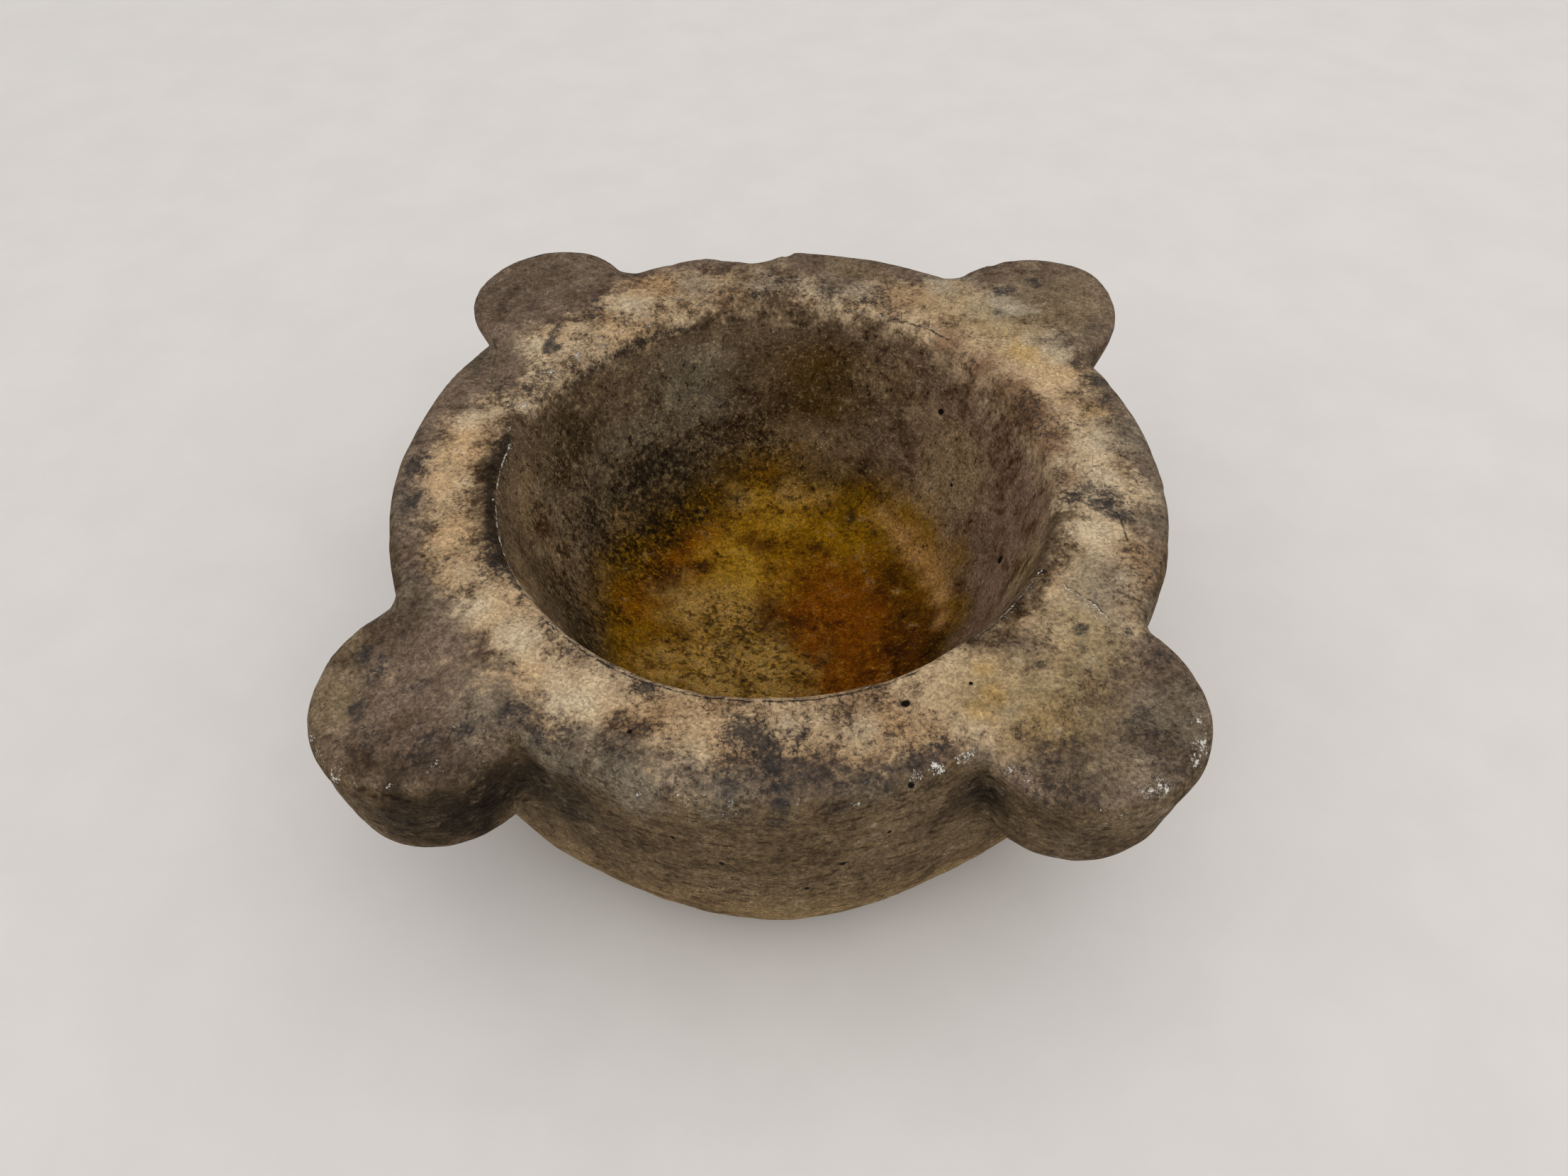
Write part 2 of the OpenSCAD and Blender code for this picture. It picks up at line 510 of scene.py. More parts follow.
# blue-black stains: direction, distance, height, size, strength
SOOT = [
    # the right rim and the far right lug
    (8, 98, 5, 50), (16, 96, 3, 60), (20, 97.5, 4.5, 90), (24, 95.5, 3.5, 70), (30, 112, 5, 50),
    (43.5, 94.5, 2.2, 90), (44, 114, 3.5, 80), (46.5, 106, 2, 80), (47, 102.5, 3, 100),
    (52, 76.5, 2, 70), (55, 77, 2, 70),
    # the far rim
    (68, 82, 5, 60), (77, 78, 4, 60), (92, 78, 4, 70), (111, 82, 2.5, 80), (125, 93, 2, 80),
    (125.5, 90, 2, 80), (127.5, 87, 2, 70), (130, 77, 2, 60),
    # the hooked stain by the far left lug
    (134.2, 89.5, 2, 130), (136, 88.5, 2.2, 140), (137.8, 87.2, 2.2, 140), (138.8, 85.8, 2.2, 140),
    (139.3, 82.5, 2.2, 130), (140.2, 84.8, 2.4, 140), (141.2, 83.8, 1.8, 130),
    # the left rim
    (151, 95, 5, 50), (152, 78, 3, 70), (155, 88, 4, 40), (158, 78, 3, 70), (168, 99, 3, 70),
    (177, 97, 4, 90), (182, 98, 4, 70), (185, 95, 5, 80), (200, 97, 4, 50),
    # the near left lug and the corner beside it
    (210, 112, -3.5, 3, 80), (211.5, 109, -3, 1.8, 90), (213, 111.5, -3.5, 2.8, 110),
    (216, 120, -4.5, 2.6, 110), (217.5, 121, -4.5, 2, 90), (218, 106, -2.7, 4, 50),
    (226, 112, -4, 3, 60), (228.5, 104, -2, 3, 70), (231, 76.5, 2, 80), (231, 99, 3.5, 80),
    (234, 96, 3, 60), (237, 97.5, 3, 70),
    # the near rim and its blot
    (244, 77, 1.6, 70), (246.5, 76.8, 2.4, 110), (253, 89, 2, 50), (262, 79.5, 2.2, 90),
    (262.8, 81.5, 3, 110), (263, 97, 5, 60), (264, 83.5, 3.5, 120), (265, 85, 5.5, 80),
    (265.5, 85.5, 3.5, 120), (266, 82.5, 3, 90), (267, 87.5, 3.5, 110), (268.5, 90, 3.5, 110),
    (268.5, 93, 3, 110), (269.5, 96, 3.5, 100), (269.5, 100, -1, 3.5, 100), (269.5, 101, -6, 4, 70),
    (271.5, 89, 2.5, 90), (272, 94, 5, 60), (272.5, 86, 1.8, 90), (273.8, 83, 1.6, 90),
    (274, 80, 1.6, 80), (276, 78, 1.8, 70), (276, 97, 7, 50), (281, 98, 6, 65), (286.5, 96, 2.5, 50),
    (291, 93, 3.2, 75),
    # the near right lug
    (303, 120, -2, 5, 50), (306, 107.5, -1.3, 3, 50), (310.8, 89.5, 1.8, 90), (314, 113, -1.7, 5, 60),
    (317.5, 93, 2.4, 70), (318, 75.5, 2, 60), (319.5, 90.5, 3, 100), (323.5, 109, -1.5, 1.8, 80),
    (324, 99, -1, 2.2, 90), (327.5, 89, 1.6, 90), (332, 76, 2, 60),
    # the blot on the right rim
    (340, 77, 2, 60), (344.5, 81, 1.6, 80), (346.5, 88, 3.5, 110), (347, 90.5, 2, 110),
    (348, 83, 3.5, 110), (348.5, 86, 4, 110), (349.5, 77, 3, 70), (350.5, 80, 3.5, 100),
    (351.5, 88, 3.5, 90), (352, 84, 3, 90), (355, 95, 4, 50),
    # inside the bowl, mostly low on the wall
    (47, 62, -33, 5, 30), (60, 56, -47, 3, 50), (70, 68, -15, 8, 25), (72, 55, -51, 5, 45),
    (92, 55, -52, 6, 45), (100, 66, -20, 6, 30), (105, 56, -51, 8, 50), (112, 60, -40, 8, 45),
    (120, 56, -50, 8, 60), (122, 60, -38, 8, 60), (130, 59, -40, 9, 70), (134, 55, -51, 9, 70),
    (138, 59, -41, 8, 75), (140, 66, -22, 7, 35), (146, 60, -39, 8, 55), (148, 56, -53, 8, 50),
    (150, 69, -12, 9, 45), (156, 60, -38, 8, 55), (162, 56, -50, 8, 60), (166, 59, -41, 8, 50),
    (178, 56, -50, 8, 60), (194, 57, -46, 9, 65), (206, 58, -42, 9, 65), (345, 56, -47, 6, 40),
]

# patches of another colour: colour, then rows of direction, distance, height, size, strength
PATCHES = [
    (HONEY, (32.5, 86, 4, 90), (31, 89, 7, 50), (12, 92, 5, 60), (40, 90, 12, 35)),
    (BUFF, (45, 95, 14, 80), (58, 88, 9, 80), (308, 94, 16, 80)),
    (DULL_BUFF, (308, 106, 14, 95), (318, 101, 9, 70), (40, 105, 15, 90)),
    (DUST, (62, 96, 8, 50)),
    (PALE_DUST, (30, 97, 8, 80), (45, 100, 10, 80), (58, 95, 8, 80), (88, 87, 8, 60), (243, 95, 6, 70)),
    (BUFF, (320, 90, 10, 60), (330, 86, 8, 60)),
    (ROSE, (5, 75.5, -2, 6, 100), (15, 75.5, -2, 6, 100), (25, 75, -2, 6, 100), (35, 75, -2, 6, 100),
     (45, 75, -2, 6, 100), (355, 76, -2, 5, 80), (66, 94, 4, 70), (60, 84, 5, 50)),
    (DULL_BUFF, (299, 90, 8, 60)),
    (HONEY, (298, 92, 3.5, 90), (302, 89, 3, 90), (304, 82, 2.5, 90), (305, 103, 8, 40),
     (18, 97, 4, 50)),
    (PEACH, (113, 93, 8, 100), (60, 88, 7, 70), (172, 86, 10, 70), (195, 86, 10, 80), (226, 90, 8, 80),
     (250, 83, 8, 70), (342, 88, 4, 80)),
    (CREAM, (341.5, 84.5, 5, 100)),
    (PEACH, (286, 86, 8, 80), (205, 90, 6, 60)),
    (CREAM, (120, 84, 6, 100), (130, 86, 5, 80), (142, 88, 5, 80), (163, 87, 6, 80), (212, 87, 5, 90),
     (223, 83, 6, 90), (237, 88, 6, 90), (257, 93, 5, 90), (271, 83, 3, 90), (281, 84, 5, 80),
     (355, 86, 5, 90), (5, 88, 7, 80), (102, 95, 5, 60), (295, 95, 5, 70), (341, 79, 4, 80)),
    (DUST, (75, 90, 12, 80), (92, 84, 12, 40), (330, 90, 10, 60), (345, 95, 7, 60), (5, 97, 8, 60),
     (248, 95, 8, 60), (312, 82, 6, 50), (105, 86, 7, 60)),
]

# the bowl's floor: colour, then rows of east, north, size, strength
FLOOR_PATCHES = [
    (YELLOW, (-10, 40, 16, 90), (-12, 24, 16, 90), (8, 36, 16, 80), (-25, 12, 10, 60),
     (-42, -12, 12, 40)),
    (GOLD, (0, 40, 7, 70), (-10, 20, 10, 60), (-18, 32, 8, 50), (-5, 46, 4, 80)),
    (RUST, (-34, 20, 10, 90), (-27, 33, 9, 80), (-42, 5, 10, 60), (12, 10, 15, 90), (25, 2, 18, 90),
     (18, -12, 17, 90), (26, -28, 18, 90), (8, -2, 10, 60)),
    (DEEP_RUST, (40, -8, 12, 80), (39, -20, 12, 90), (0, 51, 6, 70), (34, 14, 10, 40), (-36, 12, 6, 50)),
    (DARK_OCHRE, (-40, 42, 14, 90), (-24, 46, 10, 80), (-48, 22, 12, 90), (20, 52, 8, 60),
     (-53, -5, 7, 70), (36, 10, 7, 50)),
    (PALE_OLIVE, (-26, 6, 11, 80), (-14, 4, 12, 60), (-10, -14, 16, 90), (-22, -26, 18, 100),
     (0, -25, 10, 60), (5, 47, 5, 80), (-12, 46, 5, 70), (15, 46, 5, 60)),
    (PINK_TAN, (35, 35, 5, 50), (40, 27, 5, 80), (44, 18, 5, 90), (48, 9, 5, 90), (50, 0, 4.5, 90),
     (49, -10, 4, 70)),
    (DARK_OCHRE, (36, 40, 5, 60), (26, 48, 6, 60), (46, -20, 6, 80)),
    (DEEP_RUST, (0, 1, 8, 80)),
    (DARK_OCHRE, (-22, 42, 9, 60), (-42, 34, 12, 70), (22, 40, 8, 30), (-36, 30, 6, 50),
     (-12, 54, 6, 70), (10, 54, 6, 70)),
]

# dark specks on the floor: east, north, size, strength
FLOOR_SOOT = [
    (24, 37, 3, 100), (17, 55, 3, 90), (-24, 40, 3, 80), (-24, 22, 2.2, 90), (31, 30, 1.8, 80),
    (37, 22, 2.2, 70), (14, 28, 2, 60), (-12, 45, 3.5, 60), (-36, 44, 10, 90), (-45, 34, 9, 70),
    (-32, 32, 5, 50), (-50, 18, 7, 60), (-36, 28, 3, 50), (-52, 0, 6, 60), (-52, -15, 6, 60),
    (2, -9, 5, 50), (-14, -8, 7, 50), (-5, 2, 7, 50), (10, -14, 5, 50), (-22, 0, 3, 50), (40, -2, 6, 40),
    (-12, -22, 8, 40), (28, 48, 4, 50), (0, 52, 6, 50),
]

# stretches of the rim and the film peppered with black: direction, distance, height, size, strength
PEPPERED = [
    (2, 96, 8, 60), (10, 80, 7, 70), (22, 96, 7, 40), (38, 80, 6, 50), (64, 83, 9, 90), (76, 81, 9, 90),
    (88, 82, 10, 100), (100, 82, 9, 80), (112, 80, 7, 70), (124, 79, 6, 70), (130, 93, 7, 60),
    (135, 79, 6, 80), (146, 80, 7, 90), (150, 96, 8, 60), (155, 82, 8, 80), (172, 79, 6, 90),
    (176, 96, 9, 70), (184, 79, 6, 100), (190, 95, 8, 60), (196, 79, 6, 90), (206, 78, 5, 90),
    (221, 122, -6, 7, 80), (225, 115, -4, 7, 100), (229, 106, -3, 7, 100), (233, 98, 8, 80),
    (240, 97, 8, 70), (248, 97, 8, 70), (257, 96, 8, 80), (266, 93, 10, 80), (276, 94, 8, 70),
    (288, 98, 8, 60), (300, 111, 10, 80), (312, 121, 12, 80), (322, 105, 10, 60), (332, 97, 8, 60),
    (350, 86, 8, 80),
]

# stretches of the bowl thick with dark specks: direction, distance, height, size, strength
SPECKLED = [
    (60, 66, -20, 12, 30), (90, 58, -45, 12, 60), (110, 60, -40, 12, 80), (125, 60, -42, 14, 100),
    (130, 57, -50, 12, 100), (140, 60, -42, 14, 100), (150, 57, -50, 12, 100), (155, 60, -42, 14, 100),
    (160, 66, -20, 15, 40), (168, 60, -40, 12, 80), (175, 62, -30, 15, 60), (190, 60, -40, 15, 70),
]
FLOOR_SPECKLED = [
    (-15, -5, 14, 100), (-10, -20, 16, 90), (-25, -15, 14, 60), (0, -10, 10, 90), (5, -20, 10, 60),
    (-40, 35, 12, 90), (-30, 45, 12, 80), (-48, 20, 10, 90), (0, 50, 12, 50), (20, 40, 12, 30),
    (-50, 0, 10, 60),
]
FLOOR_SMOOTH = [(20, 0, 20, 100), (22, -25, 20, 100), (-35, 0, 10, 50)]

# fine lines in the stone: how dark, how bright the broken side, then points by direction, distance and
# height
LINES = [
    # painted shadow: this line follows a small shelf by the near right lug, and its dark side is the
    # shelf's shadow
    (80, 85, (325, 93), (326.2, 89), (327.2, 82.5)),
    (90, 0, (339.5, 93), (341.5, 91.5), (343.5, 90.5), (346, 89.3)),
    (100, 0, (46, 74.5), (50, 74.8), (54, 74.8), (60, 74.2)),
    (30, 90, (63, 74.2), (68, 74), (73, 74.2)),
    (70, 0, (337, 68.5, -15), (341, 70, -10), (346, 71.5, -6)),
    (40, 75, *((azimuth, 73.6, -1) for azimuth in range(168, 216, 6))),
    (100, 50, *((azimuth, 75) for azimuth in range(222, 300, 6))),
    (80, 75, *((azimuth, 74.8) for azimuth in range(308, 330, 5))),
    (60, 0, (144, 102), (146, 97), (150, 93), (153, 90)),
    (50, 0, (268.3, 84), (267.5, 90), (268.5, 96), (270, 100, -1)),
]

# bright broken crystals: direction, distance, height, size, strength
FLECKS = [
    (55, 75, -1, 4, 50), (65, 74, -1, 4, 60), (105, 75, -1, 4, 50), (119, 75.8, 3, 70),
    (125, 75.5, 3, 80), (131, 75.5, 3, 80), (134, 124, 3, 60), (138, 75.5, 3, 80), (145, 75.5, 3, 70),
    (150, 75, -1, 4, 50), (157, 76, 3, 90), (165, 74.5, 2.5, 80), (168, 74, -1, 4, 60),
    (174, 76.5, 2, 60), (185, 76, 2, 60), (186, 73.5, -2, 4, 60), (212, 76, 3, 60),
    (213, 131, -6, 2.8, 100), (215.5, 132, -6, 2.5, 100), (218, 132, -6.5, 2.8, 90),
    (221, 131, -7, 2.8, 90), (223, 130, -7, 2.5, 80), (227, 124, -6, 3, 70), (229, 117, -3, 3, 60),
    (238, 97, 4, 50), (243, 100, -1, 5, 50), (252, 100, -1, 5, 50), (258, 100, -2, 4, 60),
    (262, 74.5, -2, 3, 50), (264, 100.5, -2, 4, 60), (272, 101, -2, 4, 60), (279, 100, -2, 4, 60),
    (286, 100, -2, 3, 90), (289, 99.5, -1, 3.5, 90), (293, 99, -1, 3.5, 80), (297, 105, -2, 3.5, 70),
    (298, 109, -3, 3, 70), (300, 84.5, 2, 90), (301, 84, 1.5, 100), (303, 122, -6, 5, 60),
    (306, 118, 2, 70), (307, 125, -2, 3, 70), (309, 126, -2, 3, 90), (312, 106, 2, 60),
    (314, 128, -2, 3, 90), (315, 74.5, 2, 70), (316, 126, -2, 3, 100), (318, 123, -1, 3, 100),
    (320, 120, -1, 2.5, 80), (323, 75, 2, 70),
]


def units(values):
    """Numbers given in hundredths, in units."""
    return [0.01 * value for value in values]


def lay(colour, over, amount):
    """One colour laid over another."""
    return colour + (over - colour) * amount[:, None]


def floor_rows(rows):
    """Floor stains given as east and north, as direction, distance and height on the dished floor."""
    out = []
    for east, north, size, strength in rows:
        radius = math.hypot(east, north)
        height = 100 * (FLOOR_Z + (FLOOR_EDGE_Z - FLOOR_Z) * (0.01 * radius / FLOOR_EDGE) ** 2)
        out.append((math.degrees(math.atan2(north, east)), radius, height, size, strength))
    return out


class StainsAndShade:
    """The stone's surface points, and the colours and amounts of every kind of stain and painted shade at
    each.
    """

    def __init__(self, points, facing):
        self.points = points
        self.facing = facing
        x, y, self.z = points.T
        self.azimuth = np.degrees(np.arctan2(y, x)) % 360
        self.r = np.hypot(x, y)
        self.push = 0.6 * np.stack([noise(points, 0.05, 61 + i, 3) for i in range(3)], -1)
        self.ragged = 0.03 * noise(points, 0.10, 41, 3)
        outwards = (facing[:, 0] * x + facing[:, 1] * y) / np.maximum(self.r, 1e-6)
        self.side = np.maximum(ramp(outwards, 0.35, 0.8), ramp(-self.z, 0.03, 0.09)) * (self.r > 0.82)
        self.film_edge = self.around(FILM_EDGE)
        self.lip_grime = self.around(LIP_GRIME)

    def around(self, rows):
        """A value in hundredths set for a few directions."""
        return 0.01 * round_table(self.azimuth, rows)

    def plain(self, colour):
        """One colour at every point."""
        return np.tile(colour, (len(self.points), 1))

    def spots(self, rows):
        """The strongest of many soft round stains, with edges pushed about by noise."""
        most = np.zeros(len(self.points))
        for azimuth, *rest in rows:
            radius, *height, size, strength = units(rest)
            middle = polar(azimuth, radius, *height)
            gap = np.linalg.norm(self.points + size * self.push - middle, axis=1)
            most = np.maximum(most, strength * (1 - ramp(gap, 0.2 * size, 1.6 * size)))
        return most

    def patched(self, colour, groups):
        """A colour with patches of other colours laid on it one after another."""
        for patch_colour, *rows in groups:
            for row in rows:
                colour = lay(colour, patch_colour, self.spots([row]))
        return colour

    def hollow(self):
        """1 inside the bowl and 0 on the rim."""
        lip = self.around(LIP_EDGE)
        down_the_wall = ramp(-self.z - lip + 0.5 * self.ragged, -0.05, 0.08)
        over_the_lip = ramp(0.775 - self.r - lip + self.ragged, -0.05, 0.05)
        inside = np.where(lip < 0, np.maximum(down_the_wall, over_the_lip), down_the_wall)
        return inside * (self.r < 0.80)

    def rim(self):
        """The colour of the rim's pale stone."""
        colour = lay(self.plain(CREAM), PEACH, 0.5 + 0.5 * noise(self.points, 0.13, 43, 2))
        return lay(self.patched(colour, PATCHES), DUST, 0.35 * self.side)

    def wall(self):
        """The colour of the bowl's wall, in bands of different tones."""
        colour = self.plain(WALL)
        depth = -self.z + self.ragged
        for band_colour, *rows in WALL_BANDS:
            for direction, width, *rest in rows:
                top, bottom, amount = units(rest)
                within = ramp(depth, top, top + 0.10) * (1 - ramp(depth, bottom - 0.05, bottom + 0.05))
                beside = hump(self.azimuth + 150 * self.ragged, direction, width)
                colour = lay(colour, band_colour, amount * beside * within)
        return colour

    def bowl(self):
        """The bowl's colour, and the paler colour of its clean crystals."""
        on_floor = ramp(0.56 - self.r + 1.5 * self.ragged, -0.04, 0.07) * (self.z < -0.42)
        groups = [(colour, *floor_rows(rows)) for colour, *rows in FLOOR_PATCHES]
        floor = self.patched(self.plain(OCHRE), groups)
        return lay(self.wall(), floor, on_floor), lay(self.plain(WALL_LIGHT), FLOOR_LIGHT, on_floor)

    def film(self):
        """How far the dark film covers the stone."""
        outside = ramp(self.r + self.ragged, self.film_edge - 0.09, self.film_edge + 0.08)
        return np.maximum(outside, self.side) * (1 - self.spots(WORN) * (1 - self.side))

    def film_and_shade_tone(self):
        """The film's colour, with painted shade in the crevices under the lugs."""
        colour = lay(self.plain(BROWN_FILM), OLIVE_FILM, self.side)
        colour = self.patched(colour, FILM_AND_SHADE_PATCHES)
        return lay(colour, TAN_FOOT, 0.85 * ramp(-self.z + self.ragged, 0.38, 0.60))

    def grime(self):
        """How much dirt lies between the rim's crystals."""
        at_the_back = hump(self.azimuth, 88, 30) * (self.r < 0.97)
        amount = 0.42 + 0.25 * noise(self.points, 0.16, 73, 2) + 0.05 * at_the_back
        amount = amount - 0.45 * self.spots(CLEAN) + 0.30 * self.spots(DIRTY)
        amount = amount + 0.40 * ramp(self.r + self.ragged, self.film_edge - 0.14, self.film_edge + 0.02)
        by_the_lip = 1 - ramp(np.abs(self.r - 0.76) + self.ragged, 0.01, 0.07)
        return amount + 0.5 * self.lip_grime * by_the_lip

    def soot_and_painted_shadow(self):
        """The blue-black stains, the soot on the bowl's lip, and a painted shadow on the wall just under
        the far lip.
        """
        r, z, ragged = self.r, self.z, self.ragged
        inner_rim = 0.55 * self.lip_grime * (1 - ramp(np.abs(r - 0.742) + 0.3 * ragged, 0.004, 0.022))
        spread = self.around(LIP_SOOT)
        past_the_lip = (r - 0.738 + 0.6 * ragged) / (spread + 0.004)
        on_the_lip = 1.05 * (1 - ramp(past_the_lip, 0.5, 1.6)) * ramp(spread, 0.002, 0.012) * (r > 0.732)
        # painted shadow: a dark band along the wall just under the far lip, where the lip shades it
        shadow_line = np.exp(-((z + 0.040 + 0.4 * ragged) / 0.020) ** 2) * (r < 0.78)
        painted_lip_shadow = hump(self.azimuth, 126, 42) * shadow_line
        stained = self.spots(SOOT + floor_rows(FLOOR_SOOT))
        return np.maximum.reduce([stained, inner_rim, on_the_lip, painted_lip_shadow])

    def speckle(self):
        """How thick the bowl is with dark specks."""
        thick = self.spots(SPECKLED + floor_rows(FLOOR_SPECKLED))
        return 0.25 + 0.75 * thick - 0.25 * self.spots(floor_rows(FLOOR_SMOOTH))

    def lines(self):
        """The signed distance in millimetres from the nearest fine line, and how strong that line is."""
        best = side = np.full(len(self.points), 9.0)
        dark = light = np.zeros(len(self.points))
        for darkness, lightness, *corners in LINES:
            knots = [polar(azimuth, *units(rest)) for azimuth, *rest in corners]
            for start, end in zip(knots, knots[1:]):
                along = end - start
                t = np.clip((self.points - start) @ along / (along @ along), 0, 1)
                gap = self.points - start - t[:, None] * along
                away = np.linalg.norm(gap, axis=1)
                nearer = away < best
                best = np.where(nearer, away, best)
                signed = away * np.sign((np.cross(along, gap) * self.facing).sum(1))
                side = np.where(nearer, signed, side)
                dark = np.where(nearer, 0.01 * darkness, dark)
                light = np.where(nearer, 0.01 * lightness, light)
        near = 1 - ramp(best, 0.015, 0.030)
        return {"line_gap": 1000 * UNIT * side, "line_dark": dark * near, "line_light": light * near}

    def named(self):
        """All that the material reads, by name."""
        hollow = self.hollow()
        bowl, bowl_light = self.bowl()
        return {"wash": self.rim(), "bowl": bowl, "bowl_light": bowl_light, "film_and_shade_tone": self.film_and_shade_tone(),
                "film": self.film() * (1 - hollow), "hollow": hollow, "side": self.side,
                "grime": self.grime(), "soot_and_painted_shadow": self.soot_and_painted_shadow(), "speckle": self.speckle(),
                "pepper": self.spots(PEPPERED) * (1 - hollow), "fleck": self.spots(FLECKS), **self.lines()}


# ---------------- the stone as a Blender mesh
def add_attribute(mesh, name, values):
    """Store a number or a colour at each point, for the material to read."""
    if values.ndim == 1:
        layer = mesh.attributes.new(name, "FLOAT", "POINT")
        layer.data.foreach_set("value", values.astype(np.float32))
        return
    layer = mesh.attributes.new(name, "FLOAT_COLOR", "POINT")
    flat = np.ones((len(values), 4), np.float32)
    flat[:, :3] = np.clip(values, 0, 1)
    layer.data.foreach_set("color", flat.ravel())


def make_stone():
    """The stone as an object, and the middles and radii of its deep pits."""
    points, quads, facing = stone_surface()
    mesh = bpy.data.meshes.new("carved_marble")
    metres = points * UNIT + np.array([0, 0, HEIGHT])
    mesh.from_pydata(metres.tolist(), [], quads.tolist())
    mesh.update()
    mesh.shade_smooth()
    for name, values in StainsAndShade(points, facing).named().items():
        add_attribute(mesh, name, values)
    stone = bpy.data.objects.new("carved_marble", mesh)
    bpy.context.scene.collection.objects.link(stone)
    pit_places = []
    for azimuth, radius, z, size, _ in PITS:
        nearest = np.argmin(((points - polar(azimuth, radius, z)) ** 2).sum(1))
        pit_places.append((tuple(metres[nearest]), 1.05 * size * UNIT))
    return stone, pit_places


# ---------------- material building blocks
class Graph:
    """A material's nodes, with short calls for the ones used here."""

    def __init__(self, name):
        self.material = bpy.data.materials.new(name)
        self.material.use_nodes = True
        self.tree = self.material.node_tree
        self.tree.nodes.clear()
        self.place = self.add("ShaderNodeTexCoord").outputs["Object"]

    def add(self, kind, inputs=(), **settings):
        node = self.tree.nodes.new(kind)
        for key, value in settings.items():
            setattr(node, key, value)
        for key, value in dict(inputs).items():
            self.join(value, node.inputs[key])
        return node

    def join(self, value, socket):
        if isinstance(value, bpy.types.NodeSocket):
            self.tree.links.new(value, socket)
        elif isinstance(value, np.ndarray):
            socket.default_value = (*value, 1.0)
        else:
            socket.default_value = value

    def math(self, operation, a, b=0.0):
        return self.add("ShaderNodeMath", {0: a, 1: b}, operation=operation).outputs[0]

    def times(self, a, b):
        return self.math("MULTIPLY", a, b)

    def plus(self, a, b):
        return self.math("ADD", a, b)

    def mix(self, amount, a, b, blend="MIX"):
        node = self.add("ShaderNodeMix", data_type="RGBA", blend_type=blend, clamp_factor=True)
        self.join(amount, node.inputs[0])
        self.join(a, node.inputs[6])
        self.join(b, node.inputs[7])
        return node.outputs[2]

    def step(self, value, start, end, low=0.0, high=1.0):
        inputs = {"Value": value, "From Min": start, "From Max": end, "To Min": low, "To Max": high}
        return self.add("ShaderNodeMapRange", inputs, interpolation_type="SMOOTHSTEP").outputs[0]

    def noise(self, size, detail=4.0, rough=0.55, where=None, warp=0.0):
        """Noise from 0 to 1 whose features are about size metres across."""
        inputs = {"Vector": where or self.place, "Scale": 1 / size, "Detail": detail,
                  "Roughness": rough, "Distortion": warp}
        return self.add("ShaderNodeTexNoise", inputs).outputs[0]

    def cells(self, size):
        return self.add("ShaderNodeTexVoronoi", {"Vector": self.place, "Scale": 1 / size})

    def stretched(self, x, y, z):
        return self.add("ShaderNodeMapping", {"Vector": self.place, "Scale": (x, y, z)}).outputs[0]

    def surface(self, inputs):
        """The finished material, from the inputs of its shader."""
        shader = self.add("ShaderNodeBsdfPrincipled", inputs)
        output = self.add("ShaderNodeOutputMaterial")
        self.join(shader.outputs[0], output.inputs["Surface"])
        return self.material

    def number(self, name):
        return self.add("ShaderNodeAttribute", attribute_name=name).outputs["Fac"]

    def colour(self, name):
        return self.add("ShaderNodeAttribute", attribute_name=name).outputs["Color"]

    def cell_shade(self, size):
        """One random number for each crystal."""
        colour = self.cells(size).outputs["Color"]
        return self.add("ShaderNodeSeparateColor", {0: colour}).outputs[0]

    def dots(self, size, radius, rarity):
        """Small round dots in some of the cells of a loose pattern."""
        cells = self.cells(size)
        chance = self.add("ShaderNodeSeparateColor", {0: cells.outputs["Color"]}).outputs[1]
        near = self.step(cells.outputs["Distance"], radius, 0.3 * radius)
        return self.times(near, self.step(chance, rarity - 0.02, rarity + 0.02))


